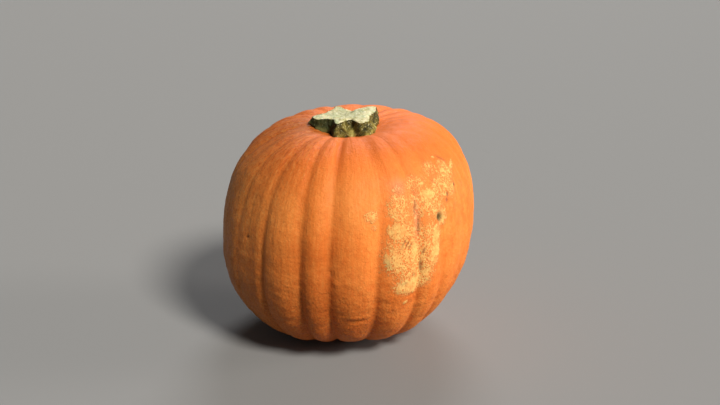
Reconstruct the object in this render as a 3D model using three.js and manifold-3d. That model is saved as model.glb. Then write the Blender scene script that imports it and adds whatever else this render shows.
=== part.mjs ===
// A ribbed pumpkin with its cut, five-lobed stem stub. Millimetres, +Z up.
// It rests on its flat spot at z = 0, and its front faces -Y.
//
// Places on the fruit are given by azimuth, in degrees from the front (-Y) and positive towards +X,
// and by latitude, in degrees above the widest level.

import * as THREE from 'three';
import { mergeVertices } from 'three/addons/utils/BufferGeometryUtils.js';
import Module from 'manifold-3d';

// Fruit: driving dimensions.
const crestRadius = 120; // half the width, over the crests of the ribs
const crownHeight = 108.6; // from the widest level up to the top, before it is dimpled
const baseDepth = 105.1; // from the widest level down to the bottom, before it is flattened
const restDepth = 102.6; // from the widest level down to the flat resting spot
const crownSquareness = 2.65; // superellipse exponents: 2 is round, more is boxier
const baseSquareness = 2.35;
const rightFullness = 0.04; // the +X shoulder stands out by this share, the -X one falls short
const backFullness = 0.034; // the same for the back shoulder over the front one
const dimpleDepth = 20; // the hollow round the stem
const dimpleSpread = 21.5; // degrees from the pole
const ribRoundness = 2.4; // 2 is a parabola from crest to groove, more is a flatter crest
const poleFade = 5; // grooves die out near the poles, the later the higher this is

// Fruit: resolution of the mesh.
const columnsPerRib = 5;
const rows = 32;

// The grooves between the ribs, in order round the fruit. Each has its azimuth at the widest level,
// how far it leans (towards one side above, the other below) and bows (the same way above and
// below), in degrees, and its depth in millimetres by the crown, at the widest level and by the base.
const grooves = [
  { azimuth: -167, lean: 2, bow: -1, depths: [2.5, 4, 4] },
  { azimuth: -150, lean: -1, bow: 2, depths: [2, 3.2, 3.5] },
  { azimuth: -132, lean: 1, bow: 1, depths: [3, 4.2, 4.5] },
  { azimuth: -117, lean: 3, bow: -2, depths: [2, 2.5, 3] },
  { azimuth: -101, lean: -1, bow: 1, depths: [3, 3.5, 3] },
  { azimuth: -85, lean: 1, bow: 0, depths: [3.5, 2, 2] },
  { azimuth: -70, lean: -2, bow: 1, depths: [1.5, 1, 1.5] },
  { azimuth: -57, lean: -1, bow: -1, depths: [3, 1.5, 2] },
  { azimuth: -41, lean: 1.5, bow: 2, depths: [3, 4.5, 3.5] },
  { azimuth: -21, lean: 0.5, bow: -1.8, depths: [1.8, 3.5, 5] },
  { azimuth: -8.6, lean: 1.3, bow: 1.8, depths: [3, 4.5, 5.5] },
  { azimuth: 12.8, lean: 2.8, bow: 4, depths: [0.8, 2.8, 4.5] },
  { azimuth: 31.4, lean: -2, bow: 0, depths: [1.5, 2.5, 3.5] },
  { azimuth: 45, lean: -4, bow: 0, depths: [1, 1.8, 3] },
  { azimuth: 61, lean: 0, bow: 0, depths: [1.2, 1.5, 2.5] },
  { azimuth: 77, lean: 2, bow: 1, depths: [2.5, 2.5, 3] },
  { azimuth: 95, lean: -1, bow: 2, depths: [2.5, 3.2, 3] },
  { azimuth: 113, lean: 1, bow: -2, depths: [3, 4, 3.5] },
  { azimuth: 127, lean: 2, bow: 0, depths: [2, 2.5, 3] },
  { azimuth: 144, lean: -2, bow: 1, depths: [3.5, 4, 4.5] },
  { azimuth: 165, lean: 1, bow: 1, depths: [2.5, 3.8, 4] },
];

// Soft swells and hollows (negative heights, in millimetres) that make the fruit lopsided. Each fades
// out from its middle over its own spread of degrees, sideways and upwards.
const swells = [
  { azimuth: 85, latitude: -24, wide: 26, tall: 13, height: -4 },
  { azimuth: 88, latitude: 16, wide: 24, tall: 14, height: -1.5 },
  { azimuth: 50, latitude: -50, wide: 24, tall: 11, height: 2 },
  { azimuth: -80, latitude: 48, wide: 16, tall: 11, height: -4 },
  { azimuth: -14, latitude: -60, wide: 24, tall: 13, height: -4.5 },
  { azimuth: 130, latitude: 64, wide: 35, tall: 10, height: -5 },
  { azimuth: -85, latitude: 73, wide: 40, tall: 8, height: 4.5 },
];

// Stem: driving dimensions.
const stemHeight = 106.5; // from the widest level up to the middle of the cut face
const stemRoot = 84; // from the widest level up to where the root is lost inside the fruit
const faceRiseRight = 0.05; // slopes of the cut face, which is lower on the left and in front
const faceRiseBack = 0.06;
const waist = 0.92; // width below the cut face, as a share of the face's
const foot = 1.25; // width at the root
const seatGap = 0.3; // clearance to the skin
const stemSides = 60;

// The cut face's outline: the tips of the five lobes and the notches between them, [x, y].
const stemOutline = [
  [-10.5, -29.5],
  [-3.5, -22],
  [3, -17.5],
  [10.5, -29.5],
  [20.5, -26],
  [22, -9],
  [28.5, 7],
  [27, 24],
  [15, 19],
  [4, 11],
  [-3, 18],
  [-10.5, 30],
  [-16, 19],
  [-21, 10],
  [-33.5, -0.5],
  [-31, -9.5],
  [-19.5, -12],
  [-14.5, -13],
];

const radians = THREE.MathUtils.degToRad;

function direction(azimuth, latitude) {
  const level = Math.cos(radians(latitude));
  return new THREE.Vector3(
    level * Math.sin(radians(azimuth)),
    -level * Math.cos(radians(azimuth)),
    Math.sin(radians(latitude)),
  );
}

// Distance from the centre to the rib crests.
function crestDistance(azimuth, latitude) {
  const level = Math.cos(radians(latitude));
  const rise = Math.sin(radians(latitude));
  const above = rise > 0;
  const height = (above ? crownHeight : baseDepth) / crestRadius;
  const power = above ? crownSquareness : baseSquareness;
  const round = (level ** power + Math.abs(rise / height) ** power) ** (-1 / power);
  const lopsided =
    rightFullness * Math.sin(radians(azimuth)) - backFullness * Math.cos(radians(azimuth));
  const dimple = dimpleDepth * Math.exp(-(((90 - latitude) / dimpleSpread) ** 2));
  return crestRadius * round * (1 + lopsided * Math.sin(radians(2 * latitude))) - dimple;
}

function swellHeight(azimuth, latitude) {
  let total = 0;
  for (const swell of swells) {
    const sideways = THREE.MathUtils.euclideanModulo(azimuth - swell.azimuth + 180, 360) - 180;
    const upwards = latitude - swell.latitude;
    total += swell.height * Math.exp(-((sideways / swell.wide) ** 2) - (upwards / swell.tall) ** 2);
  }
  return total;
}

function grooveAzimuth(groove, latitude) {
  const rise = Math.sin(radians(latitude));
  return groove.azimuth + groove.lean * rise + groove.bow * rise ** 2;
}

function grooveDepth(groove, latitude) {
  const rise = Math.sin(radians(latitude));
  const [crown, middle, base] = groove.depths;
  const far = rise > 0 ? crown : base;
  const depth = THREE.MathUtils.lerp(middle, far, THREE.MathUtils.smoothstep(Math.abs(rise), 0, 0.8));
  return depth * (1 - Math.abs(rise) ** poleFade);
}

// A point on the skin: share runs from 0 at the groove that opens a rib to 1 at the next one.
function skinPoint(rib, share, latitude) {
  const left = grooves[rib];
  const right = grooves[(rib + 1) % grooves.length];
  const start = grooveAzimuth(left, latitude);
  const turn = rib + 1 === grooves.length ? 360 : 0;
  const azimuth = THREE.MathUtils.lerp(start, grooveAzimuth(right, latitude) + turn, share);
  const offCrest = Math.abs(2 * share - 1);
  const valley = grooveDepth(share < 0.5 ? left : right, latitude) * offCrest ** ribRoundness;
  const distance = crestDistance(azimuth, latitude) + swellHeight(azimuth, latitude) - valley;
  const point = direction(azimuth, latitude).multiplyScalar(distance);
  point.z = Math.max(point.z, -restDepth);
  return point;
}

function fruitGeometry() {
  const columns = grooves.length * columnsPerRib;
  const points = [direction(0, -90).multiplyScalar(restDepth)];
  for (let row = 1; row < rows; row++) {
    const latitude = -90 + (180 * row) / rows;
    for (let column = 0; column < columns; column++) {
      const rib = Math.floor(column / columnsPerRib);
      points.push(skinPoint(rib, (column % columnsPerRib) / columnsPerRib, latitude));
    }
  }
  points.push(direction(0, 90).multiplyScalar(crestDistance(0, 90)));

  const last = points.length - 1;
  const index = [];
  for (let column = 0; column < columns; column++) {
    const next = (column + 1) % columns;
    index.push(0, 1 + next, 1 + column);
    for (let row = 0; row < rows - 2; row++) {
      const low = 1 + row * columns;
      const high = low + columns;
      index.push(low + column, low + next, high + next);
      index.push(low + column, high + next, high + column);
    }
    index.push(last - columns + column, last - columns + next, last);
  }

  const geometry = new THREE.BufferGeometry().setFromPoints(points);
  geometry.setIndex(index);
  return geometry;
}

// The stem before it is seated: a tapering star from its root inside the fruit to the cut face.
function stemBlank() {
  const corners = stemOutline.map(([x, y]) => new THREE.Vector3(x, y, 0));
  const outline = new THREE.CatmullRomCurve3(corners, true).getSpacedPoints(stemSides).slice(0, -1);
  const faceLevel = (point) => stemHeight + faceRiseRight * point.x + faceRiseBack * point.y;
  const levels = [
    { share: 0, width: foot },
    { share: 0.55, width: 1 },
    { share: 0.85, width: waist },
    { share: 1, width: 1 },
  ];

  const points = [new THREE.Vector3(0, 0, stemRoot)];
  for (const { share, width } of levels) {
    for (const corner of outline) {
      const top = faceLevel(corner);
      const height = THREE.MathUtils.lerp(stemRoot, top, share);
      points.push(new THREE.Vector3(corner.x * width, corner.y * width, height));
    }
  }
  points.push(new THREE.Vector3(0, 0, stemHeight));

  const last = points.length - 1;
  const index = [];
  for (let side = 0; side < stemSides; side++) {
    const next = (side + 1) % stemSides;
    index.push(0, 1 + next, 1 + side);
    for (let level = 0; level < levels.length - 1; level++) {
      const low = 1 + level * stemSides;
      const high = low + stemSides;
      index.push(low + side, low + next, high + next);
      index.push(low + side, high + next, high + side);
    }
    index.push(last - stemSides + side, last - stemSides + next, last);
  }

  const geometry = new THREE.BufferGeometry().setFromPoints(points);
  geometry.setIndex(index);
  return geometry;
}

// Solids to join and cut.
const wasm = await Module();
wasm.setup();

function toSolid(geometry) {
  const bare = geometry.clone();
  bare.deleteAttribute('normal');
  bare.deleteAttribute('uv');
  const merged = mergeVertices(bare);
  const mesh = new wasm.Mesh({
    numProp: 3,
    vertProperties: new Float32Array(merged.attributes.position.array),
    triVerts: new Uint32Array(merged.index.array),
  });
  return new wasm.Manifold(mesh);
}

function toGeometry(solid) {
  const mesh = solid.getMesh();
  const geometry = new THREE.BufferGeometry();
  geometry.setAttribute('position', new THREE.BufferAttribute(new Float32Array(mesh.vertProperties), 3));
  geometry.setIndex(new THREE.BufferAttribute(new Uint32Array(mesh.triVerts), 1));
  return geometry;
}

function seatedStemGeometry(fruit) {
  const raised = fruit.clone().translate(0, 0, seatGap);
  return toGeometry(toSolid(stemBlank()).subtract(toSolid(raised)));
}

function namedMesh(name, geometry, material) {
  geometry.computeVertexNormals();
  const mesh = new THREE.Mesh(geometry, material);
  mesh.name = name;
  return mesh;
}

const skin = new THREE.MeshStandardMaterial({ color: 0xe8782e, roughness: 0.5, metalness: 0 });
const cork = new THREE.MeshStandardMaterial({ color: 0x8a8a52, roughness: 0.85, metalness: 0 });

const fruitShape = fruitGeometry();
const pumpkin = new THREE.Group();
pumpkin.add(namedMesh('fruit', fruitShape, skin));
pumpkin.add(namedMesh('stem', seatedStemGeometry(fruitShape), cork));
pumpkin.position.z = restDepth;

export default pumpkin;
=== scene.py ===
"""Looks of a ribbed pumpkin with a cut stem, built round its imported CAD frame.

Everything is in metres in the frame of the CAD model, except values whose name ends in _mm.
Places on the fruit are an azimuth, in degrees from the front (-Y) and positive towards +X, and a
latitude, in degrees above the widest level, both seen from the fruit's core.
"""

import math

import bpy
import numpy as np
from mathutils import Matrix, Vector, noise
from mathutils.bvhtree import BVHTree


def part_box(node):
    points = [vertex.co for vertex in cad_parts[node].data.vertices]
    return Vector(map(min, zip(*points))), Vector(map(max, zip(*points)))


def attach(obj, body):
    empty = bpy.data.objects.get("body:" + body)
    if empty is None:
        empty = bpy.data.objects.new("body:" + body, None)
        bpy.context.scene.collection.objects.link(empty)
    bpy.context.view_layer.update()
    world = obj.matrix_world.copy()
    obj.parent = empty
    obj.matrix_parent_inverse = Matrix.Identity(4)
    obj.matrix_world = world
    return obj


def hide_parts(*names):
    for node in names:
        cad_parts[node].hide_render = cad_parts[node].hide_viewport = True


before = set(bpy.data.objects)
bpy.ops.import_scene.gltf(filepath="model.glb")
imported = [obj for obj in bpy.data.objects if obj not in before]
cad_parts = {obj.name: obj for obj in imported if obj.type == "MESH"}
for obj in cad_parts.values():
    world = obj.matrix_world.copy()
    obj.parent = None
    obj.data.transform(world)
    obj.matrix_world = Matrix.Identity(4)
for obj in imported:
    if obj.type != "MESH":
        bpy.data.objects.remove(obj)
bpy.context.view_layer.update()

MM = 0.001

FRUIT_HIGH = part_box("fruit")[1]
CORE = Vector((0.0, 0.0, FRUIT_HIGH.z / 2))


# ---------------------------------------------------------------- numbers on a grid

def blur_round(values, sigma):
    """Gaussian blur along the last axis of a grid that closes on itself."""
    count = values.shape[-1]
    fade = np.exp(-2 * (math.pi * sigma * np.fft.rfftfreq(count)) ** 2)
    return np.fft.irfft(np.fft.rfft(values, axis=-1) * fade, count, axis=-1)


def blur_open(values, sigma):
    """Gaussian blur along the last axis of a grid with two ends, which keeps their slope."""
    reach = min(int(4 * sigma) + 1, values.shape[-1] - 1)
    before = 2 * values[..., :1] - values[..., reach:0:-1]
    after = 2 * values[..., -1:] - values[..., -2:-reach - 2:-1]
    padded = np.concatenate([before, values, after], axis=-1)
    offsets = np.arange(-reach, reach + 1)
    kernel = np.exp(-0.5 * (offsets / sigma) ** 2)
    kernel /= kernel.sum()
    count = values.shape[-1]
    return sum(weight * padded[..., i:i + count] for i, weight in enumerate(kernel))


def smoothstep(low, high, value):
    share = np.clip((value - low) / (high - low), 0, 1)
    return share * share * (3 - 2 * share)


def noise_at(points, size, octaves=1, shift=0.0):
    """Seedless smooth noise from about -1 to 1 at each point, with features of about that size."""
    offset = Vector((shift, 2 * shift, -shift))
    found = [noise.fractal(Vector(point) / size + offset, 0.9, 2.0, octaves) for point in points]
    return np.array(found)


def wrapped(degrees):
    return (degrees + 180) % 360 - 180


# ---------------------------------------------------------------- the fruit's shape

RIB_STEP = 1.3             # degrees between columns of vertices
SCARRED_RIB_STEP = 0.42    # the same on the ribs that carry the scar, which need fine relief
SCAR_SIDES = (12, 77)      # azimuths that the scarred ribs lie between
ROW_STEP = 0.9             # degrees between rows of vertices
SCARRED_ROW_STEP = 0.6
SCAR_ENDS = (-22, 46)      # latitudes of the finer rows
SHARES = 17                # samples across a rib when the CAD shape is read
CAD_ROW_BLUR = 2.6         # degrees of blur that melt the CAD facets together, along a rib
CAD_SHARE_BLUR = 2.4       # samples of blur across a rib
CREASE_BLUR = 0.9          # degrees of blur that round the creases between ribs
RELIEF_COLUMNS = 9         # columns of blur that take the ribs away, to tell how far they stand out
FULL_CUT_MM = 1.5          # how deep a groove is when it counts as fully cut
RIB_ROUNDING_MM = 0.7      # how much rounder than in the CAD surface the ribs are above
LOW_RIB_ROUNDING_MM = 2.2  # and how much rounder below
GROOVE_BITE_MM = 0.7       # how deep the crease itself is cut
GROOVE_LINE_MM = 3.0       # how far that cut reaches to either side
GROOVE_SHADE_MM = 3.4      # how far the painted shade in each groove reaches to either side
FOLD_SPACING_MM = 4.2      # from fold to fold, in the small folds low on the front


def directions(azimuth, latitude):
    around, up = np.radians(azimuth), np.radians(latitude)
    level = np.cos(up)
    return np.stack([level * np.sin(around), -level * np.cos(around), np.sin(up)], axis=-1)


def cad_tree(node):
    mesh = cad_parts[node].data
    corners = [vertex.co for vertex in mesh.vertices]
    return BVHTree.FromPolygons(corners, [face.vertices for face in mesh.polygons])


def cad_distances(tree, azimuth, latitude):
    """Distance from the core to the CAD surface, for arrays of azimuths and latitudes."""
    rays = directions(azimuth, latitude)
    flat = [tree.ray_cast(CORE, Vector(ray))[3] for ray in rays.reshape(-1, 3)]
    return np.array(flat).reshape(azimuth.shape)


def find_grooves(tree):
    """The course of each groove in the CAD surface: its azimuth is a quadratic in sin(latitude)."""
    step = 0.5
    azimuths = np.arange(-180, 180, step)
    latitudes = np.arange(-69, 70, 1.5)
    around, up = np.meshgrid(azimuths, latitudes)
    distance = cad_distances(tree, around, up)
    relief = distance - blur_round(distance, 7 / step)

    middle = len(latitudes) // 2
    ring = relief[middle]
    beside = round(3 / step)  # a groove is the lowest place within 3 degrees of it
    lowest = np.min([np.roll(ring, turn) for turn in range(-beside, beside + 1)], axis=0)
    starts = np.flatnonzero((ring == lowest) & (ring < -0.2 * MM))

    courses = []
    for start in starts:  # follow each groove from row to row, up and then down from the widest level
        track = np.zeros(len(latitudes))
        for rows in (range(middle, len(latitudes)), range(middle, -1, -1)):
            place = start
            for row in rows:
                window = np.arange(place - 3, place + 4)
                place = window[np.argmin(relief[row, window % len(azimuths)])]
                track[row] = place
        track = azimuths[0] + step * track
        courses.append(np.polyfit(np.sin(np.radians(latitudes)), track, 2))
    return courses


def read_ribs(tree, courses, latitudes):
    """Smooth distances on each rib, [rib, share, latitude], with the azimuth of every sample."""
    rise = np.sin(np.radians(latitudes))
    lines = [np.polyval(course, rise) for course in courses]
    lines.append(lines[0] + 360)
    shares = np.linspace(0, 1, SHARES)
    azimuth = np.array([
        [left + (right - left) * share for share in shares]
        for left, right in zip(lines[:-1], lines[1:])
    ])
    distance = cad_distances(tree, azimuth, np.broadcast_to(latitudes, azimuth.shape))
    distance = np.moveaxis(blur_open(np.moveaxis(distance, 1, 2), CAD_SHARE_BLUR), 2, 1)
    distance = blur_open(distance, CAD_ROW_BLUR)
    return azimuth, distance


def row_latitudes():
    low, high = SCAR_ENDS
    below = np.linspace(-90, low, round((low + 90) / ROW_STEP) + 1)
    along = np.linspace(low, high, round((high - low) / SCARRED_ROW_STEP) + 1)
    above = np.linspace(high, 90, round((90 - high) / ROW_STEP) + 1)
    return np.concatenate([below, along[1:], above[1:]])[1:-1]


def round_creases(azimuth, distance):
    """One row's distances with the sharp crease of each groove rounded off."""
    step = 0.25
    even = np.arange(0, 360, step)
    level = np.interp(even, azimuth, distance, period=360)
    return np.interp(azimuth, even, blur_round(level, CREASE_BLUR / step), period=360)


def skin_grid():
    """The skin's azimuths, latitudes, distances and places on the rib, as [row, column] arrays."""
    tree = cad_tree("fruit")
    courses = find_grooves(tree)
    coarse = np.arange(-89.0, 90.0, 1.0)
    rib_azimuth, rib_distance = read_ribs(tree, courses, coarse)
    latitudes = row_latitudes()
    azimuth, distance, share = [], [], []
    for angle, reach in zip(rib_azimuth, rib_distance):
        start, end = angle[0, len(coarse) // 2], angle[-1, len(coarse) // 2]
        scarred = SCAR_SIDES[0] < wrapped((start + end) / 2) < SCAR_SIDES[1]
        columns = math.ceil((end - start) / (SCARRED_RIB_STEP if scarred else RIB_STEP))
        for place in np.arange(columns) / columns:
            low = int(place * (SHARES - 1))
            part = place * (SHARES - 1) - low
            line = angle[low] * (1 - part) + angle[low + 1] * part
            span = reach[low] * (1 - part) + reach[low + 1] * part
            azimuth.append(np.interp(latitudes, coarse, line))
            distance.append(np.interp(latitudes, coarse, span))
            share.append(place)
    azimuth, distance = np.array(azimuth).T, np.array(distance).T
    distance = np.array([round_creases(*row) for row in zip(azimuth, distance)])
    share = np.broadcast_to(share, azimuth.shape)
    latitude = np.broadcast_to(latitudes[:, None], azimuth.shape)
    return azimuth, latitude, distance, share


# ---------------------------------------------------------------- marks on the skin

# Every mark is a soft patch: azimuth, latitude, half width and half height in mm, how far it is
# turned from upright in degrees, and its amount.

# The scar's solid cork, thick netting and thin netting, with how thickly each covers the skin.
SCAR_PATCHES = [
    (38, 27, 11, 6.5, 0, 0.86),
    (21, 15, 11, 8.5, 0, 0.88),
    (40.3, 11, 6.5, 9, 0, 0.9),
    (40, 6, 6, 13, 0, 0.9),
    (39, 1, 6.5, 9, -10, 0.86),
    (36.5, 13, 9, 14, 0, 0.62),
    (36, -3, 9, 14, 0, 0.64),
    (29, 6, 5.5, 10, 0, 0.86),
    (19.5, 3, 11, 10, 0, 0.82),
    (26.5, -9.5, 17, 9.5, 0, 0.86),
    (44.5, 17.5, 6.5, 11, 10, 0.68),
    (27.5, 6, 31, 37, 5, 0.63),
    (36, 23, 26, 19, 0, 0.6),
    (23, 24, 14, 15, 0, 0.62),
    (30.5, -6, 22, 17, -8, 0.66),
    (48, 29, 16, 15, 0, 0.58),
    (53, 27.5, 9, 12, 0, 0.56),
    (34, 33, 14, 9, 0, 0.56),
    (55, 34, 13, 13, 0, 0.56),
    (45, 37, 11, 9, 0, 0.5),
    (24, 31, 9, 9, 0, 0.46),
    (62, 35, 7, 2.6, -35, 0.72),
    (10, 22, 7, 6, 0, 0.74),
    (11, 17.5, 2.6, 2.6, 0, 0.74),
    (25.5, -17.5, 3.4, 2.4, -20, 0.74),
    (51.5, 41, 1.8, 1.8, 0, 0.95),
]

PIT = (42.8, 17.4)         # azimuth and latitude of the scar's deep pit
SOFT_GROOVE = (-41, 0)     # and of the groove that is softer than the others

# The pit and the other dark marks, most of them in and by the scar.
STAINS = [
    (*PIT, 3.3, 4.0, 10, 1),
    (32.4, -2, 1.6, 5.5, -4, 0.75),
    (33.4, 4.5, 1.3, 3.4, 25, 0.65),
    (30.3, 23, 1.1, 6, 12, 0.55),
    (31.2, 15.5, 1.2, 8, 6, 0.5),
    (23.6, 9.5, 0.9, 4.5, 35, 0.7),
    (25.2, 9, 0.9, 4, 35, 0.7),
    (26.6, 8, 0.9, 4, 35, 0.6),
    (57, 39.5, 1.5, 7, -50, 0.62),
    (57.2, 27.6, 1.6, 2.2, 0, 0.9),
    (50, 25, 1.5, 2.3, 0, 0.85),
    (48.8, 23.0, 1.3, 1.9, 0, 0.8),
    (24.5, -8, 2.2, 1.2, 0, 0.4),
    (28.5, -5, 2.4, 1.2, 0, 0.4),
    (-50.5, 7, 1.3, 1.3, 0, 0.7),
    (-7.4, -3.5, 1.6, 1.8, 0, 0.5),
]

# Where skin and cork are olive or pink.
OLIVE_SPOTS = [
    (16, 1, 5, 6, 0, 1),
    (22.5, -7, 6, 5, 0, 0.7),
    (42.8, 17.2, 5, 6, 0, 0.9),
]
PINK_SPOTS = [
    (24, 32.5, 6, 7, 0, 0.7),
    (30.8, 19, 3, 16, 4, 0.7),
]

# Where painted shade makes the rind darker, or painted light makes it brighter, than round about.
PAINTED_SHADE_SPOTS = [
    (-10, -14, 22, 30, 0, 0.4),
    (27, 55, 34, 20, 0, 0.6),
    (52, 45, 24, 20, 0, 0.35),
    (-43.5, -4, 8, 50, 0, 0.45),
    (-18, 5, 26, 18, 0, 0.35),
    (-74, 70, 9, 6, 0, 0.7),
]
PAINTED_LIGHT_SPOTS = [
    (1, 27, 32, 28, 0, 1),
    (-32, 24, 18, 24, 0, 0.5),
]

# Bumps and, where the amount is negative, dents. Their amounts are in mm.
DENTS = [
    (-50, -2, 17, 60, 0, -2.6),
    (14, 52, 5.5, 24, 0, -1.4),
    (4.5, -24.5, 10, 1.9, 4, -1.5),
    (-50.5, 7, 1.6, 1.6, 0, -1.0),
    (-7.2, -2.5, 2.0, 2.4, 0, -1.4),
    (-5.6, -6.5, 2.4, 2.4, 0, 1.3),
    (-13, 63, 2.6, 1.8, 0, 1.5),
    (*PIT, 6, 7, 0, 0.7),
    (*PIT, 3.6, 4.4, 0, -0.7),
    (*PIT, 2.6, 3.2, 0, -0.8),
]


class Skin:
    """The skin's grid, with places on it measured in mm and the marks that it carries."""

    def __init__(self):
        self.azimuth, self.latitude, self.distance, self.share = skin_grid()
        self.turn = wrapped(self.azimuth)
        self.relief_mm = (self.distance - blur_round(self.distance, RELIEF_COLUMNS)) / MM
        self.points = self.place(self.azimuth, self.distance)
        self.lifts_mm = np.zeros(self.azimuth.shape)

    def place(self, azimuth, distance):
        return np.array(CORE) + directions(azimuth, self.latitude) * distance[..., None]

    def noise(self, size_mm, octaves=1, shift=0.0, stretch=(1, 1, 1)):
        points = (self.points * np.array(stretch)).reshape(-1, 3)
        return noise_at(points, size_mm * MM, octaves, shift).reshape(self.azimuth.shape)

    def around(self, azimuth, latitude, turn=0.0):
        """How far each vertex lies to the right of and above a place, in mm along the skin."""
        arc_mm = np.radians(1) * self.distance / MM
        right = wrapped(self.azimuth - azimuth) * arc_mm * np.cos(np.radians(self.latitude))
        above = (self.latitude - latitude) * arc_mm
        lean = math.radians(turn)
        return (
            right * math.cos(lean) - above * math.sin(lean),
            right * math.sin(lean) + above * math.cos(lean),
        )

    def spot(self, azimuth, latitude, wide_mm, tall_mm, turn=0.0, edge=2.0):
        """1 in the middle of a soft patch and 0 away from it; a higher edge makes its rim steeper."""
        right, above = self.around(azimuth, latitude, turn)
        return np.exp(-((right / wide_mm) ** 2 + (above / tall_mm) ** 2) ** (edge / 2))

    def patches(self, marks, edge=2.0):
        """The soft patch of each mark in a table, as strong as the mark's amount."""
        return [amount * self.spot(*place, edge) for *place, amount in marks]


def groove_depth(skin):
    """How near each vertex is to a groove, in mm, and how deep that groove is cut there, 0 to 1."""
    near_mm = np.full(skin.share.shape, np.inf)
    cut = np.zeros(skin.share.shape)
    arc_mm = np.radians(1) * skin.distance / MM * np.cos(np.radians(skin.latitude))
    for start in np.flatnonzero(skin.share[0] == 0):
        gap = np.abs(wrapped(skin.azimuth - skin.azimuth[:, start:start + 1])) * arc_mm
        closer = gap < near_mm
        near_mm = np.where(closer, gap, near_mm)
        depth = smoothstep(0, FULL_CUT_MM, -skin.relief_mm[:, start:start + 1])
        cut = np.where(closer, depth, cut)
    return near_mm, cut


def note_scar(skin):
    """Where cork, stains and tints are. Cork is thin netting from about 0.2, solid from about 0.8."""
    cover = np.max(skin.patches(SCAR_PATCHES, edge=4), axis=0)
    cover *= 1 - 0.25 * skin.spot(33, 16, 10, 16)
    patchy = 0.09 * skin.noise(8, 2, 3.0) + 0.08 * skin.noise(3, 2, 8.0)
    skin.scar = np.clip(cover + patchy * smoothstep(0.05, 0.4, cover), 0, 1)
    skin.stain = np.max(skin.patches(STAINS, edge=3), axis=0)
    skin.olive = np.max(skin.patches(OLIVE_SPOTS), axis=0)
    skin.pink = np.max(skin.patches(PINK_SPOTS), axis=0)


def note_shading_and_rind(skin):
    """How low, high and left each vertex is, how much painted shade and painted light it gets, and how
    hairy and scaly its rind is.
    """
    level, turn = skin.latitude, skin.turn
    skin.low = smoothstep(10, -35, level)
    skin.high = smoothstep(20, 52, level)
    skin.left = np.exp(-(wrapped(skin.azimuth + 85) / 50) ** 2)
    # Painted shade: darker on the left above and below the widest level, on the lower half (less on
    # the right), more at the very foot, and at the listed spots.
    skin.dusk = np.maximum(skin.low, smoothstep(12, 45, level)) * skin.left
    skin.dusk += smoothstep(18, -28, level) * (0.88 - 0.5 * smoothstep(5, 40, turn))
    skin.dusk += 0.5 * smoothstep(-40, -65, level)
    skin.dusk = np.clip(skin.dusk + sum(skin.patches(PAINTED_SHADE_SPOTS)), 0, 1.2)
    # Painted light: the rind brightened on the upper front.
    skin.glow = np.max(skin.patches(PAINTED_LIGHT_SPOTS), axis=0)
    skin.hairy = np.maximum(0.45 * skin.left, skin.high * smoothstep(0, -35, turn))
    skin.scaly = np.maximum(skin.low * (1 - 0.6 * smoothstep(0, 35, turn)), skin.left)


def seat_mm(azimuth, latitude):
    """How far the skin sinks below the CAD surface where the stem sits, most in front and right."""
    side = 0.5 + 0.5 * np.cos(np.radians(azimuth - 25))
    return 2.6 * side * np.exp(-((latitude - 73) / 7.5) ** 2)


def cut_ribs(skin, near_mm, cut):
    """Flattens the ribs on the left and by the base, rounds the others and cuts their creases."""
    level, turn = skin.latitude, skin.turn
    crest_mm, valley_mm = np.maximum(skin.relief_mm, 0), np.minimum(skin.relief_mm, 0)
    flat_left = smoothstep(-40, -46, turn) * smoothstep(-100, -85, turn)
    flat_left *= smoothstep(-55, -35, level) * smoothstep(55, 35, level)
    flat_crown = smoothstep(-22, -32, turn) * smoothstep(-95, -75, turn) * smoothstep(5, 25, level)
    flat_base = smoothstep(-36, -52, level)
    skin.lifts_mm -= flat_left * (0.85 * crest_mm + 0.3 * valley_mm)
    skin.lifts_mm -= 0.4 * skin.spot(*SOFT_GROOVE, 12, 75) * valley_mm
    skin.lifts_mm -= (0.3 * flat_crown + 0.75 * flat_base) * skin.relief_mm

    lower = smoothstep(30, -25, level)
    soft = skin.spot(*SOFT_GROOVE, 14, 80)
    by_stem = smoothstep(28, 55, level) * np.exp(-(wrapped(skin.azimuth + 2) / 30) ** 2)
    rounding = RIB_ROUNDING_MM + (LOW_RIB_ROUNDING_MM - RIB_ROUNDING_MM) * lower
    rounding *= smoothstep(-75, -40, level) * (1 - 0.5 * skin.low * skin.spot(35, -30, 70, 90))
    rounding *= 1 - 0.85 * soft
    crease = GROOVE_BITE_MM * (0.6 + 0.8 * lower) + 1.5 * by_stem + 0.9 * soft
    off_crest = 1 - 4 * skin.share * (1 - skin.share)
    bite = cut * (crease * np.exp(-(near_mm / GROOVE_LINE_MM) ** 2) + rounding * off_crest)
    skin.lifts_mm -= bite * (1 - 0.5 * np.maximum(flat_left, flat_crown))


def roughen_skin(skin):
    """Lumps, ripples and grain, stronger low on the fruit, where its right has fewer ripples."""
    ripple_mm = 0.22 + 0.55 * skin.low * (1 - 0.75 * smoothstep(0, 35, skin.turn))
    skin.lifts_mm += skin.noise(46, 2) + (0.25 + 0.35 * skin.low) * skin.noise(23, 1, 30.0)
    skin.lifts_mm += ripple_mm * skin.noise(11, 2, 5.0, stretch=(0.8, 0.8, 1.5))
    skin.lifts_mm += (0.06 + 0.14 * skin.low) * skin.noise(4.5, 2, 9.0)


def add_marks(skin):
    """The folds low on the front, dents and bumps, the scar's cork, and the puckers round the stem."""
    right, above = skin.around(-25, -6)
    phase = 2 * math.pi * (above + 0.5 * right) / FOLD_SPACING_MM + 3 * skin.noise(9, 1, 2.0)
    skin.lifts_mm += 0.38 * np.cos(phase) * skin.spot(-25, -7, 9, 17, edge=3)
    skin.lifts_mm += sum(skin.patches(DENTS)) - 0.9 * skin.stain
    skin.lifts_mm += 0.26 * smoothstep(0.15, 0.9, skin.scar) * (1 + 0.9 * skin.noise(2.8, 2, 6.0))
    puckers = skin.noise(9, 2, 17.0, stretch=(1.6, 1.6, 0.5))
    skin.lifts_mm += 0.5 * smoothstep(56, 70, skin.latitude) * puckers


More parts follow.
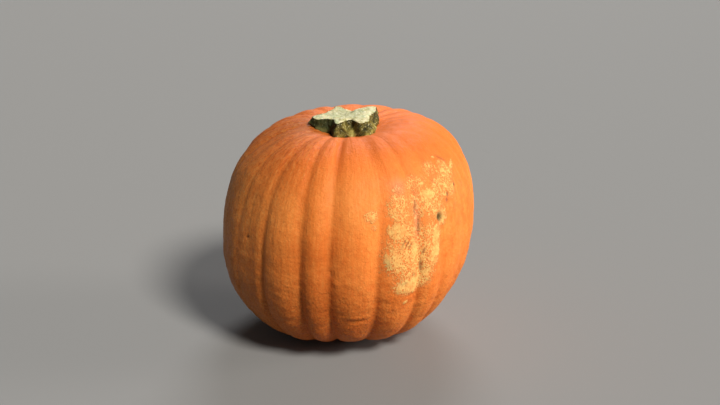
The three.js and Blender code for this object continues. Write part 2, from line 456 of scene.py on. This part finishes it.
def shape_base(skin):
    """The hollow under the fruit, with the corky blossom scar in its middle."""
    off_axis_mm = np.hypot(skin.points[..., 0], skin.points[..., 1]) / MM
    below = skin.latitude < 0
    skin.blossom = np.where(below, np.exp(-(off_axis_mm / 9) ** 2), 0)
    skin.lifts_mm -= np.where(below, 3.0 * np.exp(-(off_axis_mm / 20) ** 2), 0)
    skin.lifts_mm += 1.6 * skin.blossom * (1 + 0.4 * skin.noise(3, 2, 4.0))


def shape_skin(skin):
    """Adds everything finer than the CAD shape to the skin, and keeps what the paint needs."""
    near_mm, cut = groove_depth(skin)
    # Painted shade in the grooves, strongest where they are cut deepest.
    skin.groove = cut * np.exp(-(near_mm / GROOVE_SHADE_MM) ** 2)
    note_shading_and_rind(skin)
    note_scar(skin)

    cut_ribs(skin, near_mm, cut)
    roughen_skin(skin)
    add_marks(skin)
    shape_base(skin)
    skin.lifts_mm -= seat_mm(skin.azimuth, skin.latitude)

    sway = 0.45 * skin.noise(55, 2, 11.0) + 0.18 * skin.noise(16, 1, 13.0)
    skin.points = skin.place(skin.azimuth + sway, skin.distance + skin.lifts_mm * MM)
    skin.points[..., 2] = np.maximum(skin.points[..., 2], 0)


# ---------------------------------------------------------------- meshes

def grid_mesh(name, rings, bottom, top, facts):
    """A closed mesh of rings of points, from the lowest to the highest, with a point at each end."""
    rows, columns = rings.shape[:2]
    corners = np.concatenate([[bottom], rings.reshape(-1, 3), [top]])
    last = len(corners) - 1
    faces = []
    for column in range(columns):
        beside = (column + 1) % columns
        faces.append((0, 1 + beside, 1 + column))
        for low in range(1, 1 + (rows - 1) * columns, columns):
            high = low + columns
            faces.append((low + column, low + beside, high + beside, high + column))
        faces.append((last - columns + column, last - columns + beside, last))

    mesh = bpy.data.meshes.new(name)
    mesh.from_pydata(corners.tolist(), [], faces)
    mesh.shade_smooth()
    for fact, values in facts.items():
        low_end, high_end = (values[row].mean(axis=0).reshape(1, -1) for row in (0, -1))
        flat = np.concatenate([low_end, values.reshape(rows * columns, -1), high_end])
        kind, field = ("FLOAT_VECTOR", "vector") if values.ndim == 3 else ("FLOAT", "value")
        attribute = mesh.attributes.new(fact, kind, "POINT")
        attribute.data.foreach_set(field, flat.astype(np.float32).ravel())
    piece = bpy.data.objects.new(name, mesh)
    bpy.context.scene.collection.objects.link(piece)
    return piece


# What the paint is told about each vertex of the skin.
RIND_FACTS = (
    "low", "high", "left", "dusk", "glow", "hairy", "scaly",
    "groove", "scar", "stain", "olive", "pink", "blossom",
)
RIB_PAINT_RADIUS_MM = 120  # streaks along the ribs are laid out on a tube of this radius
RIB_PAINT_MM = 0.2         # how far up it a degree of latitude counts: the less, the longer they are


def make_fruit():
    skin = Skin()
    shape_skin(skin)
    facts = {name: getattr(skin, name) for name in RIND_FACTS}
    around = np.radians(skin.azimuth)
    facts["along_ribs"] = np.stack([
        RIB_PAINT_RADIUS_MM * np.sin(around),
        RIB_PAINT_RADIUS_MM * np.cos(around),
        RIB_PAINT_MM * skin.latitude,
    ], axis=-1)
    bottom = (0, 0, skin.points[0, :, 2].mean())
    top = (0, 0, skin.points[-1, :, 2].mean())
    return grid_mesh("fruit_skin", skin.points, bottom, top, facts)


# ---------------------------------------------------------------- the stem's shape

STEM_COLUMNS = 320
SIDE_ROWS = 44
FACE_ROWS = 36
OUTLINE_DROP_MM = 3.0     # how far below the middle of the cut face its outline is read
OUTLINE_BLUR = 1.2        # columns of blur on that outline, few enough to keep its lobes
FOOT_BLUR = 13            # columns of blur that melt the lobes together in the foot's outline
SPREAD_BLUR = 8           # columns of blur on the foot's spread
HEIGHT_BLUR = 3           # columns of blur on the heights of the rim and the foot
RIM_SHARE = 0.93          # how far out towards the outline the height of the rim is read
STEM_BURIED_MM = 3.0      # how far the stem's foot reaches into the skin
STEM_TIP_MM = 4.0         # how far its hidden bottom hangs below the foot's edge
EDGE_ROUND_MM = 1.1       # how far the face's edge is rounded down
PITH = (3, 6)             # middle of the pith's hollow on the cut face, in mm

# How wide the foot spreads beside the cut face, by azimuth.
FOOT_SPREAD = [
    (-180, 1.15),
    (-120, 1.05),
    (-92, 0.97),
    (-65, 1.0),
    (-40, 1.2),
    (-15, 1.42),
    (25, 1.42),
    (60, 1.22),
    (95, 1.14),
    (140, 1.1),
]

# Knobs that swell out of its sides: azimuth, half width in degrees, level between foot and rim,
# and how far they stand out in mm.
STEM_KNOBS = [
    (-60, 9, 0.2, 3.8),
    (-82, 8, 0.5, 2.0),
    (8, 8, 0.3, 2.8),
    (62, 9, 0.4, 2.6),
    (150, 9, 0.4, 2.6),
    (-150, 10, 0.45, 2.6),
]


def drop(tree, x, y):
    """Height of the first surface met on the way down at x, y, or None."""
    found = tree.ray_cast(Vector((x, y, 1.0)), Vector((0, 0, -1)))[0]
    return found.z if found else None


def stem_rings(outward, reach, foot_reach, foot, rim, face_height):
    """The stem's rings from its foot to the middle of its face, with three facts of each vertex.

    The facts are whether it is on the cut face, how far up the side it is, and how far in from the
    face's edge.
    """
    rows = SIDE_ROWS + FACE_ROWS
    rings = np.zeros((rows, STEM_COLUMNS, 3))
    cut, climb, inner = np.zeros((3, rows, STEM_COLUMNS))
    for row in range(SIDE_ROWS):
        up = row / (SIDE_ROWS - 1)
        flare = (1 - up) ** 1.5
        swell = 1 + 0.05 * math.sin(math.pi * up) ** 2
        span = swell * (foot_reach * flare + reach * (1 - flare))
        rings[row] = outward * span[:, None]
        rings[row, :, 2] = foot + (rim - foot) * up
        climb[row] = up
    for step in range(FACE_ROWS):
        row = SIDE_ROWS + step
        share = 1 - (step + 1) / (FACE_ROWS + 1)
        from_edge = 1 - share
        edge_round = EDGE_ROUND_MM * MM * from_edge / (from_edge + 0.06)
        middle = from_edge ** 1.3
        rings[row] = outward * (reach * share * 0.985)[:, None]
        rings[row, :, 2] = rim * (1 - middle) + face_height * middle + edge_round
        cut[row] = 1
        climb[row] = 1
        inner[row] = from_edge
    return rings, cut, climb, inner


def make_stem():
    tree, skin_tree = cad_tree("stem"), cad_tree("fruit")
    angles = np.arange(STEM_COLUMNS) * 360 / STEM_COLUMNS
    outward = directions(angles, 0 * angles)
    face_height = drop(tree, 0, 0)
    level = Vector((0, 0, face_height - OUTLINE_DROP_MM * MM))
    reach = np.array([tree.ray_cast(level, Vector(ray))[3] for ray in outward])
    reach = blur_round(reach, OUTLINE_BLUR)
    spread = blur_round(np.interp(angles, *zip(*FOOT_SPREAD), period=360), SPREAD_BLUR)
    foot_reach = spread * (0.45 * reach + 0.55 * blur_round(reach, FOOT_BLUR))
    rim = [drop(tree, *(ray * span * RIM_SHARE)[:2]) for ray, span in zip(outward, reach)]
    foot = [drop(skin_tree, *(ray * span)[:2]) for ray, span in zip(outward, foot_reach)]
    rim = blur_round(np.array(rim), HEIGHT_BLUR)
    foot = blur_round(np.array(foot), HEIGHT_BLUR)
    foot_latitude = np.degrees(np.arctan2(foot - CORE.z, foot_reach))
    foot -= (STEM_BURIED_MM + seat_mm(angles, foot_latitude)) * MM

    rings, cut, climb, inner = stem_rings(outward, reach, foot_reach, foot, rim, face_height)
    side_mm, pith = rough_stem(rings, cut, climb, outward)
    left = np.broadcast_to(smoothstep(-6, -13, outward[:, 0] * reach / MM), cut.shape)
    facts = {"cut": cut, "inner": inner, "raised": side_mm, "pith": pith, "left": left}
    bottom = (0, 0, rings[0, :, 2].min() - STEM_TIP_MM * MM)
    top = (0, 0, rings[-1, :, 2].mean())
    return grid_mesh("stem_stub", rings, bottom, top, facts)


def rough_stem(rings, cut, climb, outward):
    """Moves the rings into ridges, knobs and torn edges; returns how raised and pithy they are."""
    shape = cut.shape
    flat = rings.reshape(-1, 3)

    def rough(size_mm, shift, stretch=(1, 1, 1), octaves=2):
        return noise_at(flat * np.array(stretch), size_mm * MM, octaves, shift).reshape(shape)

    side = 1 - cut
    rim_near = np.exp(-((1 - climb) / 0.14) ** 2)
    folds = rough(7.0, 5.0, (1, 1, 0.45), 1)
    ridges = rough(4.5, 1.0, (1, 1, 0.25)) + 0.65 * rough(2.2, 4.0, (1, 1, 0.35))
    knobs = 1.5 * rough(5.0, 7.0) + 0.7 * rough(2.2, 9.0)
    torn = 1.3 * rough(2.6, 12.0, octaves=3)
    side_mm = 1.7 * folds + ridges + knobs * (1 - 0.4 * climb)
    turn = np.degrees(np.arctan2(outward[:, 0], -outward[:, 1]))
    for azimuth, half_degrees, level, reach_mm in STEM_KNOBS:
        beside = np.exp(-(wrapped(turn - azimuth) / half_degrees) ** 2)
        side_mm = side_mm + reach_mm * beside * np.exp(-((climb - level) / 0.22) ** 2)
    out_mm = side * side_mm * (1 - 0.5 * rim_near) + rim_near * torn
    rings[..., :2] += out_mm[..., None] * MM * outward[None, :, :2]

    across, deep = rings[..., 0] / MM, rings[..., 1] / MM
    pith = np.exp(-(((across - PITH[0]) / 2.6) ** 2 + ((deep - PITH[1]) / 3.5) ** 2))
    fibres = 0.4 * rough(2.0, 15.0, octaves=3) + 0.7 * rough(8.0, 18.0)
    rings[..., 2] += (cut * (fibres - 1.8 * pith) + side * rim_near * 0.8 * rough(3.0, 21.0)) * MM
    return side_mm, pith


# ---------------------------------------------------------------- paint

class Paint:
    """A material's nodes under short names. Sizes are in mm, and colours are linear."""

    def __init__(self, name):
        self.material = bpy.data.materials.new(name)
        self.material.use_nodes = True
        self.nodes = self.material.node_tree.nodes
        self.links = self.material.node_tree.links
        self.shader = self.nodes["Principled BSDF"]

    def feed(self, socket, value):
        if isinstance(value, bpy.types.NodeSocket):
            self.links.new(value, socket)
        elif value is not None:
            socket.default_value = value

    def fact(self, name, output="Fac"):
        node = self.nodes.new("ShaderNodeAttribute")
        node.attribute_name = name
        return node.outputs[output]

    def place(self):
        return self.nodes.new("ShaderNodeTexCoord").outputs["Object"]

    def math(self, operation, first, second=None, third=None):
        node = self.nodes.new("ShaderNodeMath")
        node.operation = operation
        for socket, value in zip(node.inputs, (first, second, third)):
            self.feed(socket, value)
        return node.outputs[0]

    def stretch(self, vector, scale):
        node = self.nodes.new("ShaderNodeVectorMath")
        node.operation = "MULTIPLY"
        self.feed(node.inputs[0], vector)
        node.inputs[1].default_value = scale
        return node.outputs[0]

    def shaken(self, vector, size_mm, reach):
        """The vector moved about by smooth noise, by up to about reach in its own units."""
        node = self.nodes.new("ShaderNodeVectorMath")
        node.operation = "MULTIPLY_ADD"
        wobble = self.noise(vector, size_mm, 2, colour=True)
        self.feed(node.inputs[0], wobble)
        node.inputs[1].default_value = (2 * reach,) * 3
        self.feed(node.inputs[2], vector)
        return node.outputs[0]

    def noise(self, vector, size_mm, detail=3, rough=0.55, warp=0.0, colour=False):
        node = self.nodes.new("ShaderNodeTexNoise")
        self.feed(node.inputs["Vector"], vector)
        node.inputs["Scale"].default_value = 1 / (size_mm * MM)
        node.inputs["Detail"].default_value = detail
        node.inputs["Roughness"].default_value = rough
        node.inputs["Distortion"].default_value = warp
        return node.outputs["Color" if colour else "Fac"]

    def cells(self, vector, size_mm, feature="F1"):
        node = self.nodes.new("ShaderNodeTexVoronoi")
        node.feature = feature
        self.feed(node.inputs["Vector"], vector)
        node.inputs["Scale"].default_value = 1 / (size_mm * MM)
        return node.outputs["Distance"]

    def span(self, value, low, high, start=0.0, end=1.0):
        """The value carried smoothly from low..high to start..end."""
        node = self.nodes.new("ShaderNodeMapRange")
        node.interpolation_type = "SMOOTHSTEP"
        for socket, given in zip(node.inputs, (value, low, high, start, end)):
            self.feed(socket, given)
        return node.outputs[0]

    def mix(self, share, first, second, blend="MIX"):
        node = self.nodes.new("ShaderNodeMix")
        node.data_type = "RGBA"
        node.blend_type = blend
        sockets = [socket for socket in node.inputs if socket.enabled]
        for socket, value in zip(sockets, (share, first, second)):
            self.feed(socket, (*value, 1) if isinstance(value, tuple) else value)
        return next(socket for socket in node.outputs if socket.enabled)

    def bump(self, height, reach_mm, under=None):
        node = self.nodes.new("ShaderNodeBump")
        node.inputs["Strength"].default_value = 1
        node.inputs["Distance"].default_value = reach_mm * MM
        self.feed(node.inputs["Height"], height)
        self.feed(node.inputs["Normal"], under)
        return node.outputs[0]

    def share(self, fact, without, fully):
        """A number that goes from one value where a fact is 0 to another where it is 1."""
        return self.math("MULTIPLY_ADD", self.fact(fact), fully - without, without)

    def patches(self, vector, size_mm, low, high, detail=3, rough=0.55):
        """Soft patches: 0 where noise with features of that size is below low, 1 above high."""
        return self.span(self.noise(vector, size_mm, detail, rough), low, high)

    def layer(self, under, mask, share, tint, blend="MIX"):
        """A colour with a tint laid over it, up to that share where the mask is 1."""
        return self.mix(self.math("MULTIPLY", mask, share), under, tint, blend)

    def finish(self, piece, colour, roughness, normal):
        self.feed(self.shader.inputs["Base Color"], colour)
        self.feed(self.shader.inputs["Roughness"], roughness)
        self.feed(self.shader.inputs["Normal"], normal)
        piece.data.materials.append(self.material)


def rind_colour(paint, place, ribs):
    """The rind's orange, with scratches and streaks along the ribs, blotches, freckles and specks."""
    broad = paint.patches(place, 55, 0.35, 0.65, 2)
    colour = paint.mix(broad, (0.88, 0.200, 0.025), (0.95, 0.255, 0.040))
    scratches = paint.patches(ribs, 2.4, 0.55, 0.72, 3, 0.65)
    colour = paint.layer(colour, scratches, paint.share("left", 0.30, 0.70), (0.99, 0.38, 0.08))
    streaks = paint.patches(ribs, 5, 0.40, 0.70, 4, 0.6)
    colour = paint.layer(colour, streaks, 0.45, (0.97, 0.32, 0.060))
    blotches = paint.patches(place, 9, 0.46, 0.70, 4, 0.6)
    colour = paint.layer(colour, blotches, paint.share("low", 0.42, 0.67), (0.70, 0.130, 0.013))
    freckles = paint.patches(place, 3, 0.52, 0.70, 3, 0.7)
    colour = paint.layer(colour, freckles, 0.42, (0.60, 0.115, 0.010))
    specks = paint.patches(place, 2.2, 0.58, 0.70, 3, 0.6)
    return paint.layer(colour, specks, paint.share("low", 0.20, 0.45), (0.98, 0.42, 0.10))


def painted_light_and_shade(paint, colour):
    """A redder crown that is partly painted shade; painted shade darkening the grooves and the foot
    and browning the left side; painted light brightening the front.
    """
    # A redder, darker crown: partly the rind's own colour, partly painted shade that tones down the
    # light on top.
    colour = paint.layer(colour, paint.fact("high"), 0.75, (0.80, 0.165, 0.024))
    # Painted shade in the grooves.
    colour = paint.layer(colour, paint.fact("groove"), 0.35, (0.58, 0.11, 0.012))
    # Painted shade at the foot, on the left and at the listed spots.
    colour = paint.layer(colour, paint.fact("dusk"), 0.62, (0.44, 0.088, 0.009))
    # Painted shade that browns the left side, away from the light, less on the crown.
    left_shade = paint.share("high", 0.54, 0.20)
    colour = paint.layer(colour, paint.fact("left"), left_shade, (0.31, 0.155, 0.034))
    # Painted light that brightens the upper front.
    return paint.layer(colour, paint.fact("glow"), 0.45, (1.0, 0.34, 0.072))


def textured(paint, colour, place, ribs):
    """Pale and dark hairs along the ribs, dark scales, and glints."""
    hairs = paint.noise(paint.stretch(ribs, (1, 1, 4.2)), 2.6, 3, 0.6)
    pale_hairs, dark_hairs = paint.span(hairs, 0.52, 0.66), paint.span(hairs, 0.48, 0.34)
    scales = paint.patches(place, 1.8, 0.50, 0.64, 2, 0.6)
    glints = paint.patches(paint.stretch(place, (1, 1, 1.4)), 2.1, 0.53, 0.66, 2, 0.6)
    hairy = paint.share("hairy", 0.08, 0.68)
    for mask, share, tint in (
        (pale_hairs, hairy, (1.0, 1.5, 2.2)),
        (dark_hairs, hairy, (0.66, 0.50, 0.40)),
        (scales, paint.share("scaly", 0.05, 0.67), (0.62, 0.48, 0.40)),
        (glints, paint.share("scaly", 0.05, 0.63), (1.0, 1.55, 2.4)),
    ):
        colour = paint.layer(colour, mask, share, tint, "MULTIPLY")
    return colour


def net_of_cork(paint, place):
    """The scar's cork, from 0 to 1: a net of broken lines that closes up where the scar is thick."""
    swirl = paint.shaken(paint.stretch(place, (1, 1, 0.7)), 3, 1.6 * MM)
    net = paint.cells(swirl, 2.0, "DISTANCE_TO_EDGE")
    broken = paint.noise(place, 3.2, 4, 0.65)
    cover = paint.math("MULTIPLY_ADD", broken, 0.9, paint.math("SUBTRACT", paint.fact("scar"), 0.45))
    cover = paint.math("MAXIMUM", cover, 0.0)
    width = paint.math("MULTIPLY", paint.math("POWER", cover, 2.2), 0.70)
    width = paint.math("SUBTRACT", width, 0.03)
    return paint.span(paint.math("SUBTRACT", width, net), -0.04, 0.08)


def scarred(paint, colour, place, cork):
    """The skin by the scar, its pale cork, and the stains over both."""
    by_scar = paint.span(paint.fact("scar"), 0.15, 0.6, 0.0, 0.45)
    colour = paint.mix(by_scar, colour, (0.84, 0.225, 0.055))
    tone = paint.patches(place, 4.5, 0.35, 0.65, 3, 0.6)
    pale = paint.mix(tone, (0.80, 0.33, 0.085), (0.88, 0.49, 0.14))
    pale = paint.layer(pale, paint.fact("olive"), 0.55, (0.50, 0.38, 0.14))
    pale = paint.layer(pale, paint.fact("pink"), 0.6, (0.80, 0.36, 0.20))
    cracks = paint.patches(place, 1.7, 0.56, 0.68, 2, 0.7)
    pale = paint.layer(pale, cracks, 0.7, (0.58, 0.19, 0.045))
    colour = paint.mix(cork, colour, pale)
    stain = paint.mix(paint.noise(place, 3, 2), (0.15, 0.055, 0.018), (0.28, 0.10, 0.035))
    stain = paint.mix(paint.fact("olive"), stain, (0.055, 0.045, 0.008))
    return paint.layer(colour, paint.fact("stain"), 0.97, stain)


def rind_bumps(paint, place, ribs, cork):
    """The skin's peel, pores, streaks and lumps, with the cork on top. Peel and lumps grow below."""
    relief = paint.share("low", 0.45, 0.90)
    peel = paint.math("MULTIPLY", paint.noise(place, 2.2, 4, 0.68), relief)
    pores = paint.span(paint.cells(place, 3.4), 0.0, 0.22)
    streaks = paint.noise(ribs, 6, 3, 0.6)
    lumps = paint.math("MULTIPLY", paint.noise(place, 5.5, 3, 0.6), relief)
    normal = None
    for height, reach_mm in ((peel, 1.1), (pores, 0.12), (streaks, 0.7), (lumps, 1.1), (cork, 0.32)):
        normal = paint.bump(height, reach_mm, normal)
    return normal


def paint_fruit(piece):
    paint = Paint("rind")
    place = paint.place()
    ribs = paint.stretch(paint.fact("along_ribs", "Vector"), (MM, MM, MM))
    cork = net_of_cork(paint, place)

    colour = rind_colour(paint, place, ribs)
    colour = painted_light_and_shade(paint, colour)
    colour = textured(paint, colour, place, ribs)
    colour = paint.mix(paint.span(paint.fact("blossom"), 0.25, 0.7), colour, (0.36, 0.22, 0.09))
    colour = paint.layer(colour, paint.fact("pink"), 0.6, (0.90, 0.34, 0.19))
    colour = scarred(paint, colour, place, cork)

    rough = paint.span(paint.noise(place, 7, 3), 0.3, 0.7, 0.50, 0.66)
    rough = paint.math("MULTIPLY_ADD", cork, 0.2, rough)
    paint.shader.inputs["Specular IOR Level"].default_value = 0.2
    paint.finish(piece, colour, rough, rind_bumps(paint, place, ribs, cork))


def stem_side(paint, place, upright):
    """The stem's olive sides: greener patches, painted shade in the hollows and on the left, painted
    highlight on the crests, and pale streaks and flecks.
    """
    patch = paint.patches(place, 7, 0.38, 0.62, 3, 0.6)
    side = paint.mix(patch, (0.105, 0.080, 0.010), (0.235, 0.17, 0.022))
    # Greener patches of the stem's own colour, and its whole left side darkened to that green as
    # painted shade.
    green_and_shade = paint.math("MULTIPLY", paint.patches(place, 14, 0.48, 0.60, 2), 0.5)
    green_and_shade = paint.math("MAXIMUM", green_and_shade, paint.fact("left"))
    side = paint.layer(side, green_and_shade, 0.9, (0.012, 0.023, 0.004))
    # Painted shade in the hollows between the raised parts.
    hollow = paint.span(paint.fact("raised"), 0.7, -1.0)
    side = paint.layer(side, hollow, 0.85, (0.018, 0.017, 0.004))
    # Painted highlight on the crests; it, the streaks and the flecks fade towards the left, as painted
    # shade.
    lit = paint.share("left", 0.9, 0.2)
    crest_highlight = paint.span(paint.fact("raised"), 0.7, 2.4, 0.0, lit)
    side = paint.layer(side, crest_highlight, 0.7, (0.52, 0.43, 0.11))
    streaks = paint.span(paint.noise(upright, 1.8, 3, 0.6), 0.5, 0.72, 0.0, lit)
    side = paint.layer(side, streaks, 0.35, (0.46, 0.37, 0.10))
    flecks = paint.span(paint.noise(place, 1.3, 2), 0.60, 0.70, 0.0, lit)
    return paint.layer(side, flecks, 0.65, (0.74, 0.68, 0.36))


def stem_face(paint, place):
    """The pale cut face, with mint and pink patches, fibres, a duller middle, chalk and the pith."""
    tone = paint.patches(place, 6, 0.38, 0.62, 3, 0.6)
    face = paint.mix(tone, (0.45, 0.41, 0.17), (0.76, 0.68, 0.40))
    mint = paint.math("MULTIPLY_ADD", paint.fact("left"), 0.05, paint.noise(place, 10, 2, warp=0.5))
    face = paint.layer(face, paint.span(mint, 0.52, 0.64), 0.45, (0.44, 0.57, 0.34))
    blush = paint.span(paint.noise(place, 5, 2, warp=0.3), 0.60, 0.70)
    face = paint.layer(face, blush, 0.6, (0.82, 0.46, 0.28))
    fibres = paint.patches(place, 1.4, 0.55, 0.75, 3, 0.7)
    face = paint.layer(face, fibres, 0.4, (0.30, 0.28, 0.14))
    middle = paint.math("MULTIPLY_ADD", paint.noise(place, 6, 2), 0.7, paint.fact("inner"))
    face = paint.layer(face, paint.span(middle, 0.55, 1.0), 0.6, (0.42, 0.43, 0.25))
    chalk = paint.patches(place, 2.4, 0.54, 0.66, 3, 0.7)
    face = paint.layer(face, chalk, 0.6, (0.92, 0.90, 0.70))
    return paint.layer(face, paint.fact("pith"), 0.8, (0.14, 0.16, 0.09))


def paint_stem(piece):
    paint = Paint("stem_cork")
    place = paint.place()
    upright = paint.stretch(place, (1, 1, 0.3))

    edge = paint.math("MULTIPLY_ADD", paint.noise(place, 3, 3), 0.5, paint.fact("cut"))
    on_face = paint.span(edge, 0.45, 0.8)
    colour = paint.mix(on_face, stem_side(paint, place, upright), stem_face(paint, place))
    rough = paint.span(paint.noise(place, 4, 3), 0.3, 0.7, 0.65, 0.85)
    ridges = paint.bump(paint.noise(upright, 1.5, 3, 0.6), 0.5)
    grain = paint.bump(paint.noise(place, 0.9, 3, 0.65), 0.25, ridges)
    paint.shader.inputs["Specular IOR Level"].default_value = 0.25
    paint.finish(piece, colour, rough, grain)


# ---------------------------------------------------------------- the studio

CAMERA_DISTANCE = 0.96
CAMERA_RISE = 20.0        # degrees above level, seen from the core
CAMERA_LENS = 50.0        # mm, on a sensor 36 mm wide
AIM_RIGHT = 0.0114        # the core stands a little left of and below the middle of the view
AIM_UP = 0.0194

FLOOR_REACH = 30.0        # from the core to each side of the floor
FLOOR_COLOUR = (0.24, 0.236, 0.228, 1)
BACKDROP_COLOUR = (0.31, 0.305, 0.295, 1)  # close to the lit floor's, so the horizon is faint
GLOW_COLOUR = (0.93, 0.96, 1.0, 1)
GLOW_STRENGTH = 0.05      # light from all round, which fills the shadows a little


def look_at(thing, target):
    thing.rotation_euler = (Vector(target) - thing.location).to_track_quat("-Z", "Y").to_euler()


def make_camera():
    camera = bpy.data.objects.new("camera", bpy.data.cameras.new("camera"))
    bpy.context.scene.collection.objects.link(camera)
    camera.data.lens = CAMERA_LENS
    camera.data.clip_start = 0.01
    rise = math.radians(CAMERA_RISE)
    camera.location = CORE + CAMERA_DISTANCE * Vector((0, -math.cos(rise), math.sin(rise)))
    up = Vector((0, math.sin(rise), math.cos(rise)))
    look_at(camera, CORE + AIM_RIGHT * Vector((1, 0, 0)) + AIM_UP * up)
    bpy.context.scene.camera = camera


def studio_light(name, azimuth, rise, softness, brightness, colour):
    """A far light, softness degrees wide; brightness 1 makes a white surface facing it full white."""
    light = bpy.data.lights.new(name, "SUN")
    light.angle = math.radians(softness)
    light.energy = brightness * math.pi
    light.color = colour
    lamp = bpy.data.objects.new(name, light)
    bpy.context.scene.collection.objects.link(lamp)
    lamp.location = CORE + 2 * Vector(directions(np.array(azimuth), np.array(rise)))
    look_at(lamp, CORE)


def make_lights():
    studio_light("key", 38, 44, 16, 1.22, (1.0, 0.97, 0.92))
    studio_light("side", 92, 10, 20, 0.56, (1.0, 0.97, 0.93))
    studio_light("rim", -100, 22, 40, 0.03, (0.97, 0.98, 1.0))
    studio_light("back", 172, 40, 24, 0.46, (0.95, 0.97, 1.0))


def make_world():
    """A plain backdrop for the camera, and a faint glow for everything else."""
    world = bpy.data.worlds.new("studio")
    world.use_nodes = True
    tree = world.node_tree
    glow, backdrop = tree.nodes["Background"], tree.nodes.new("ShaderNodeBackground")
    glow.inputs["Color"].default_value = GLOW_COLOUR
    glow.inputs["Strength"].default_value = GLOW_STRENGTH
    backdrop.inputs["Color"].default_value = BACKDROP_COLOUR
    pick = tree.nodes.new("ShaderNodeMixShader")
    seen = tree.nodes.new("ShaderNodeLightPath").outputs["Is Camera Ray"]
    tree.links.new(seen, pick.inputs["Fac"])
    tree.links.new(glow.outputs[0], pick.inputs[1])
    tree.links.new(backdrop.outputs[0], pick.inputs[2])
    tree.links.new(pick.outputs[0], tree.nodes["World Output"].inputs["Surface"])
    bpy.context.scene.world = world
    bpy.context.scene.view_settings.view_transform = "Standard"


def make_floor():
    reach = FLOOR_REACH
    corners = [(-reach, -reach, 0), (reach, -reach, 0), (reach, reach, 0), (-reach, reach, 0)]
    mesh = bpy.data.meshes.new("floor")
    mesh.from_pydata(corners, [], [(0, 1, 2, 3)])
    floor = bpy.data.objects.new("floor", mesh)
    bpy.context.scene.collection.objects.link(floor)
    material = bpy.data.materials.new("floor")
    material.use_nodes = True
    shader = material.node_tree.nodes["Principled BSDF"]
    shader.inputs["Base Color"].default_value = FLOOR_COLOUR
    shader.inputs["Roughness"].default_value = 0.9
    mesh.materials.append(material)


# ---------------------------------------------------------------- the scene

make_camera()
make_lights()
make_world()
make_floor()

fruit = make_fruit()
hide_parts("fruit")
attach(fruit, "root")
paint_fruit(fruit)

stem = make_stem()
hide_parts("stem")
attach(stem, "root")
paint_stem(stem)
